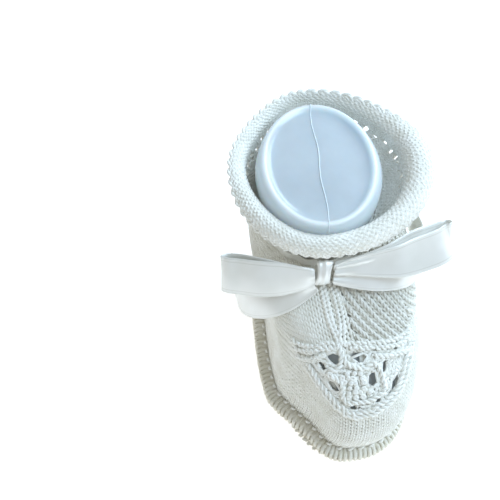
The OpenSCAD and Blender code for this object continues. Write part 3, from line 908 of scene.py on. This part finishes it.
TAIL_LEFT = [
    [-7.2, -12.8, 42.6, 0.36, 34], [-10.6, -13.2, 40.6, 0.52, 38], [-14.4, -13.4, 38.4, 0.66, 40],
    [-18.4, -13, 36.4, 0.78, 38], [-22.4, -11.8, 34.6, 0.88, 32], [-25.4, -9.4, 33.2, 0.94, 22],
    [-27, -5.6, 32.2, 0.98, 12], [-27.6, -0.8, 31.2, 1, 8], [-27.4, 4.4, 30.4, 1, 6],
]
KNOT_AT = np.array([-4.8, -11.2, 45.6])


def skin_samples(skin, low, high, rows, facing):
    """Points of a knitted skin between two shares up, and the way out of the knitting at each."""
    a, up = np.meshgrid(np.arange(-180, 180, 2.0), np.linspace(low, high, rows), indexing="ij")
    return skin(a, up).reshape(-1, 3), (outward(skin, a, up) * facing).reshape(-1, 3)


SKIN_POINTS, SKIN_NORMALS = (np.concatenate(part) for part in zip(
    skin_samples(foot, 0.3, 1, 50, 1),
    skin_samples(cuff, 0, 0.3, 10, 1),
    skin_samples(collar_skin, 0, 0.45, 20, 1),
    skin_samples(collar_skin, 0.65, 1, 16, -1),  # rolled over, so its inner face is outside
))
SKIN_TREE = kdtree.KDTree(len(SKIN_POINTS))
for number, point in enumerate(SKIN_POINTS):
    SKIN_TREE.insert(point, number)
SKIN_TREE.balance()


def rest_on_knitting(points, gap, reach=3.0):
    """Lifts ribbon that would sink into the knitting until it lies a gap above it."""
    flat = points.reshape(-1, 3).copy()
    for number, point in enumerate(flat):
        _, near, distance = SKIN_TREE.find(point)
        normal = SKIN_NORMALS[near]
        above = (point - SKIN_POINTS[near]) @ normal
        if -reach < above < gap and distance < reach + 1:
            flat[number] = point + normal * (gap - above)
    return flat.reshape(points.shape)


def ribbon_face(stations):
    """The middle surface of a ribbon through its stations. Where it is gathered, it folds lengthways."""
    f = np.linspace(0, 1, RIBBON_ROWS)
    s = along(stations, f)
    middle, share, tilt = s[:, :3], np.minimum(s[:, 3], 1), np.radians(s[:, 4])
    run = unit(np.gradient(middle, axis=0))
    out = unit(np.stack([-run[:, 1], run[:, 0], 0 * run[:, 0]], -1))
    wide = np.stack([0 * tilt, np.sin(tilt), np.cos(tilt)], -1)
    wide = unit(wide - run * (wide * run).sum(1, keepdims=True))
    face = unit(np.cross(run, wide))
    v = np.linspace(-0.5, 0.5, RIBBON_ACROSS)
    gathered = np.clip((0.62 - share) / 0.4, 0, 1)
    fold = 0.55 * np.sin(v[None] * 2 * np.pi * 1.2 + 0.5) * gathered[:, None]
    length = lengths(middle)
    ripple = 0.2 * np.sin(f * length[-1] * 0.55 + 1)
    crown = (0.25 - v[None] ** 2) * 0.9 + (ripple * eased((share - 0.6) / 0.3))[:, None]
    points = middle[:, None] + wide[:, None] * (share[:, None, None] * RIBBON_WIDTH * v[None, :, None])
    front = np.sign((face * out).sum(1))[:, None, None]
    points = points + face[:, None] * (fold + crown)[..., None] * front
    return points, face, length, v


def ribbon_piece(name, stations, body, node):
    points, face, length, v = ribbon_face(stations)
    points = rest_on_knitting(points, RIBBON_GAP)
    weave = Weave()
    weave.grid(points, yarn_uvs(length, v * RIBBON_WIDTH, RIBBON_WIDTH / (RIBBON_ACROSS - 1)))
    piece = weave.piece(name)
    apply_modifier(piece, "SUBSURF", levels=1, render_levels=1)
    apply_modifier(piece, "SOLIDIFY", thickness=RIBBON_THICK * MM, offset=0.0)
    edging = Weave()
    for edge in (0, -1):
        edging.strand(points[:, edge], face, 0.2)
    for edge, beside in ((0, 1), (-1, -2)):
        edging.strand(points[:, beside] * 0.55 + points[:, edge] * 0.45, face, 0.215)
    join(piece, edging.piece(name + "_selvedge"))
    finish_piece(piece, SATIN, body, "satin_ribbon", node)


def ribbon_band():
    """The ribbon threaded round the ankle, pulled in at each bar of the beading."""
    weave = Weave()
    a = np.linspace(-180, 180, 361)[:-1]
    v = np.linspace(-0.5, 0.5, 9)
    up = 0.125 + 0.105 * 2 * v
    grid_a, grid_up = np.broadcast_arrays(a[:, None], up[None])
    wave = 0.25 * np.cos(np.radians(a * 20))[:, None] + 0.1 * (0.25 - v[None] ** 2)
    points = cuff(grid_a, grid_up) + outward(cuff, grid_a, grid_up) * (0.35 + wave)[..., None]
    girth = lengths(points[:, len(v) // 2])
    weave.grid(points, yarn_uvs(girth, v * RIBBON_WIDTH, RIBBON_WIDTH / (len(v) - 1)), wrap_rows=True)
    piece = weave.piece("ribbon_band_satin")
    apply_modifier(piece, "SOLIDIFY", thickness=RIBBON_THICK * MM, offset=0.0)
    finish_piece(piece, SATIN, "bootie", "satin_ribbon", "ribbon_band")


def tie_knot():
    """The knot: the ribbon drawn tight over the middle of the bow, narrow, in soft lengthways pleats."""
    weave = Weave()
    around = np.linspace(0, 2 * np.pi, 49)[:-1]
    v = np.linspace(-0.5, 0.5, 25)
    pleats = 0.12 * np.sin(v * 2 * np.pi * 2 + 0.9)
    barrel = np.sqrt(np.maximum(0.02, 1 - (2 * v) ** 4))
    depth = (1.5 + pleats) * (0.5 + 0.5 * barrel)
    tall = (3.5 + pleats) * (0.75 + 0.25 * barrel)
    waist = 1 + 0.28 * np.abs(np.sin(around)) ** 3
    points = np.stack([
        v[None] * 3.5 * waist[:, None] + 0.5 * np.sin(around)[:, None],
        -np.cos(around)[:, None] * depth[None],
        np.sin(around)[:, None] * tall[None],
    ], -1)
    lean = Matrix.Rotation(math.radians(-30), 3, "X")
    points = points @ np.array(lean).T + KNOT_AT
    weave.grid(points, yarn_uvs(around * 3, v * RIBBON_WIDTH, 0.4), wrap_rows=True)
    piece = weave.piece("bow_knot_satin")
    close_ends(piece)
    finish_piece(piece, SATIN, "bootie", "satin_ribbon", "bow_knot")


# ---- vinyl form ----


FORM_MID = np.array([ANKLE_X + 0.2, 15.2])
FORM_HALF_W, FORM_HALF_L, FORM_TOP, FORM_TILT, FORM_JOINT = 15.0, 19.3, 59.0, 6.0, 36.0
FORM_SLOPE = math.tan(math.radians(FORM_TILT))
FORM_END_SWELL = 0.12  # share of the swell at the form's front and back, where the collar is close

# height below the tipped top, swell of the sides: the column, its shoulder, the rim and the sunken top
FORM_PROFILE = [
    (19.0, 0.0), (16.0, 0.0), (13.0, 0.15), (10.0, 1.1), (7.6, 1.9), (5.4, 2.2), (3.6, 2.1), (2.2, 1.75),
    (1.1, 1.25), (0.35, 0.6), (-0.05, -0.05), (0.0, -0.65), (0.45, -1.2), (0.95, -1.9), (1.05, -3.4),
    (0.8, -7.0), (0.6, -10.0), (0.5, -13.0),
]


def form_oval(a, swell):
    """Across and along of the form's oval from its middle, let out by swell, less at its front and back."""
    sin_a, cos_a = sin_cos(a)
    out = swell * mix(FORM_END_SWELL, 1, sin_a ** 2) if swell > 0 else swell
    return (FORM_HALF_W + out) * sin_a, -(FORM_HALF_L + out) * cos_a


def vinyl_ankle():
    """The form's ankle: a blown column with a soft shoulder, a raised rim and a slightly sunken top."""
    weave = Weave()
    a = np.linspace(-180, 180, 121)[:-1]
    rings = []
    column = FORM_PROFILE[0][0]
    for below, swell in FORM_PROFILE:
        x, y = form_oval(a, swell)
        z = np.maximum(FORM_TOP - below + FORM_SLOPE * y, FORM_JOINT + column - below)
        z = np.full_like(a, FORM_JOINT) if below == column else z
        rings.append(np.stack([FORM_MID[0] + x, FORM_MID[1] + y, z], -1))
    points = np.stack(rings, 1)
    count = len(FORM_PROFILE)
    weave.grid(points, yarn_uvs(a, np.arange(count) / count, 1 / count), wrap_rows=True)
    piece = weave.piece("form_ankle_vinyl")
    close_ends(piece)
    apply_modifier(piece, "SUBSURF", levels=1, render_levels=1)
    finish_piece(piece, VINYL, "foot_form", "clear_vinyl", "form_ankle", "form_rim")


def vinyl_parting_line():
    """The fine line where the two halves of the mould met, across the top and down the front."""
    weave = Weave()
    front = np.array([(form_oval(0, swell)[1], below) for below, swell in FORM_PROFILE[4:]])
    middle = np.stack([np.linspace(-5, 5, 6), np.full(6, 0.5)], -1)
    back = front[:3:-1] * [-1, 1]
    y, below = along(np.concatenate([front, middle, back]), np.linspace(0, 1, 160)).T
    sway = 0.3 * np.sin(y * 0.35)
    path = np.stack([FORM_MID[0] + sway, FORM_MID[1] + y, FORM_TOP + FORM_SLOPE * y - below + 0.05], -1)
    weave.strand(path, np.broadcast_to([0.0, -0.5, 1], path.shape), 0.18)
    piece = weave.piece("form_parting_line")
    # painted highlight: the line is coloured with the lighter copy of the vinyl
    finish_piece(piece, VINYL_PAINTED_HIGHLIGHT, "foot_form", "clear_vinyl", "form_seam")


def vinyl_foot():
    """The foot of the form stays as the frame has it, and is glimpsed through the lace."""
    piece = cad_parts["form_foot"]
    piece.data.materials.clear()
    piece.data.materials.append(VINYL)


knit_wall("toe_wall_knit", -LACE_SPREAD, LACE_SPREAD, "toe_wall", courses=TOE_COURSES, ribs=False,
          top=lower_lace_edge, up_step=0.012)
knit_wall("side_wall_right_knit", LACE_SPREAD, HEEL_START, "side_wall_right")
knit_wall("side_wall_left_knit", -HEEL_START, -LACE_SPREAD, "side_wall_left")
knit_wall("heel_wall_knit", HEEL_START, 360 - HEEL_START, "heel_wall")
knit_wall("instep_knit", -LACE_SPREAD, LACE_SPREAD, "instep", courses=0,
          bottom=upper_lace_edge, up_step=0.012)
knit_lace()
knit_centre_ribs()
knit_sole_seam()
knit_back_seam()
knit_sole()
knit_beading()
knit_collar()
knit_picots()
ribbon_band()
tie_knot()
ribbon_piece("loop_right_satin", LOOP_RIGHT, "right_loop", "loop_right")
ribbon_piece("loop_left_satin", LOOP_LEFT, "left_loop", "loop_left")
ribbon_piece("tail_right_satin", TAIL_RIGHT, "right_tail", "tail_right")
ribbon_piece("tail_left_satin", TAIL_LEFT, "left_tail", "tail_left")
vinyl_ankle()
vinyl_parting_line()
vinyl_foot()

# ---- floor, light and camera ----


def matt_white(name, colour, strength):
    material, _, shader = new_material(name)
    set_inputs(shader, {
        "Base Color": linear(colour), "Roughness": 0.9,
        "Emission Color": linear("#FFFFFF"), "Emission Strength": strength,
    })
    return material


LIT_POINT = Vector((0, 0, 0.03))


def studio():
    bpy.ops.object.select_all(action="DESELECT")
    bpy.ops.mesh.primitive_plane_add(size=4.0, location=(0, 0, 0))
    floor = bpy.context.object
    floor.name = "studio_floor"
    floor.data.materials.append(matt_white("painted_floor", "#F4F4F2", 0.6))
    world = bpy.data.worlds.new("studio")
    world.use_nodes = True
    world.node_tree.nodes["Background"].inputs["Color"].default_value = linear("#E8EEF0")
    world.node_tree.nodes["Background"].inputs["Strength"].default_value = 0.5
    bpy.context.scene.world = world
    for name, place, size, power, colour in (
        ("window_light", (0.4, -0.15, 0.62), 0.4, 3.4, "#CDE7FF"),
        ("fill_light", (-0.5, -0.4, 0.45), 0.6, 0.06, "#FFE6C0"),
        ("back_light", (0.45, 0.42, 0.48), 0.45, 4.0, "#CFE8FF"),
    ):
        lamp = bpy.data.lights.new(name, "AREA")
        lamp.size = size
        lamp.energy = power
        lamp.color = linear(colour)[:3]
        light = bpy.data.objects.new(name, lamp)
        light.location = place
        light.rotation_euler = (LIT_POINT - Vector(place)).to_track_quat("-Z", "Y").to_euler()
        bpy.context.scene.collection.objects.link(light)


CAMERA_AT = (-0.04047, -0.16612, 0.27291)
CAMERA_TURN, CAMERA_DOWN, LENS = 6, 54, 76.05


def camera():
    """Stands over the toe, a little to the left, and looks down at it."""
    turn, down = math.radians(CAMERA_TURN), math.radians(CAMERA_DOWN)
    look = Vector((math.sin(turn) * math.cos(down), math.cos(turn) * math.cos(down), -math.sin(down)))
    right = Vector((math.cos(turn), -math.sin(turn), 0))
    up = right.cross(look)
    lens = bpy.data.cameras.new("view")
    lens.sensor_width = 36
    lens.lens = LENS
    lens.clip_start = 0.01
    view = bpy.data.objects.new("view", lens)
    view.matrix_world = Matrix.Translation(CAMERA_AT) @ Matrix((right, up, -look)).transposed().to_4x4()
    bpy.context.scene.collection.objects.link(view)
    bpy.context.scene.camera = view


studio()
camera()
bpy.context.scene.view_settings.view_transform = "Standard"
